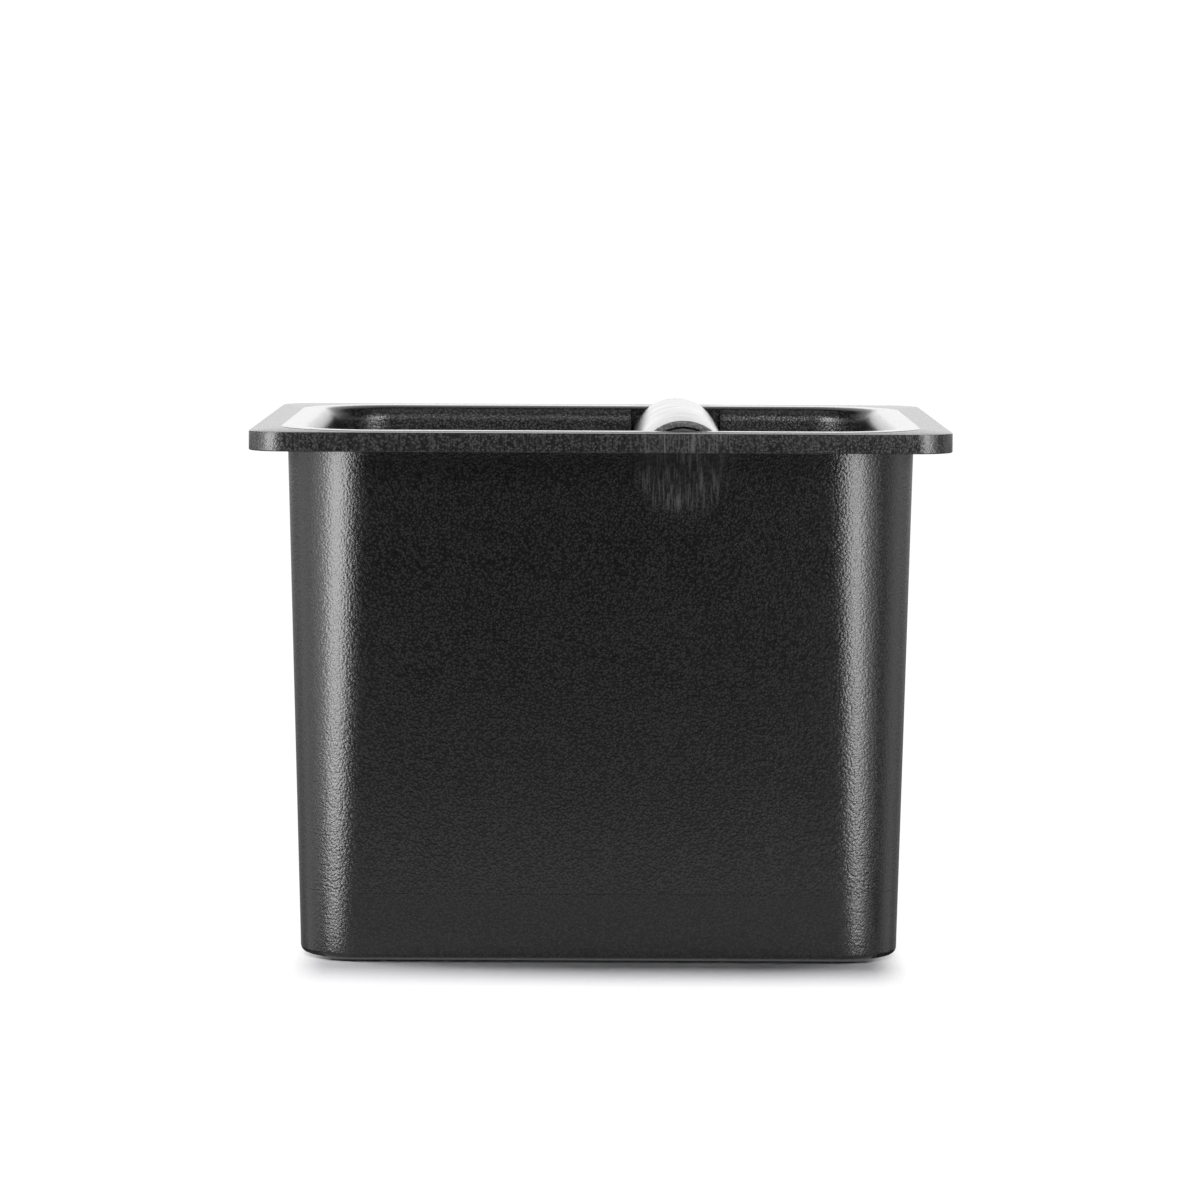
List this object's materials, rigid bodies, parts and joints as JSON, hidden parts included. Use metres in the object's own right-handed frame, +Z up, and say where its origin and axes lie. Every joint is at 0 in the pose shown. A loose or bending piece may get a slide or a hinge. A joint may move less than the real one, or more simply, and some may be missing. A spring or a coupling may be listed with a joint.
{
  "type": "espresso knock box",
  "caption": "Deep rectangular tub with a wide flange and a lift-out rubber-covered knock bar set off-centre in wall cradles, for emptying portafilters.",
  "frame": {"origin": "on the surface the box stands on, under the middle of the tub", "axes": "+X along the long side, towards the knock bar's side; +Y to the rear, along the knock bar; +Z up"},
  "size_m": [0.2, 0.175, 0.1558],
  "materials": {
    "moulded_plastic": "fine leather grain, satin black",
    "bar_rubber": "ground matt black rubber",
    "steel": "drawn stainless tube",
    "plug_plastic": "matt black",
    "foot_rubber": "matt black rubber"
  },
  "bodies": {
    "box": {"tub": "moulded_plastic", "foot_front_left": "foot_rubber", "foot_front_right": "foot_rubber", "foot_rear_left": "foot_rubber", "foot_rear_right": "foot_rubber"},
    "bar_core": {"bar_core_tube": "steel"},
    "bar_cover": {"bar_rubber_sleeve": "bar_rubber", "bar_end_plug_front": "plug_plastic", "bar_end_plug_rear": "plug_plastic"}
  },
  "joints": [
    {"name": "bar_lift", "type": "slide", "parent": "box", "child": "bar_core", "axis": [0, 0, 1], "range_m": [0, 0.05]},
    {"name": "bar_turn", "type": "hinge", "parent": "bar_core", "child": "bar_cover", "pos_m": [0.0235, 0, 0.142], "axis": [0, 1, 0], "continuous": true}
  ]
}
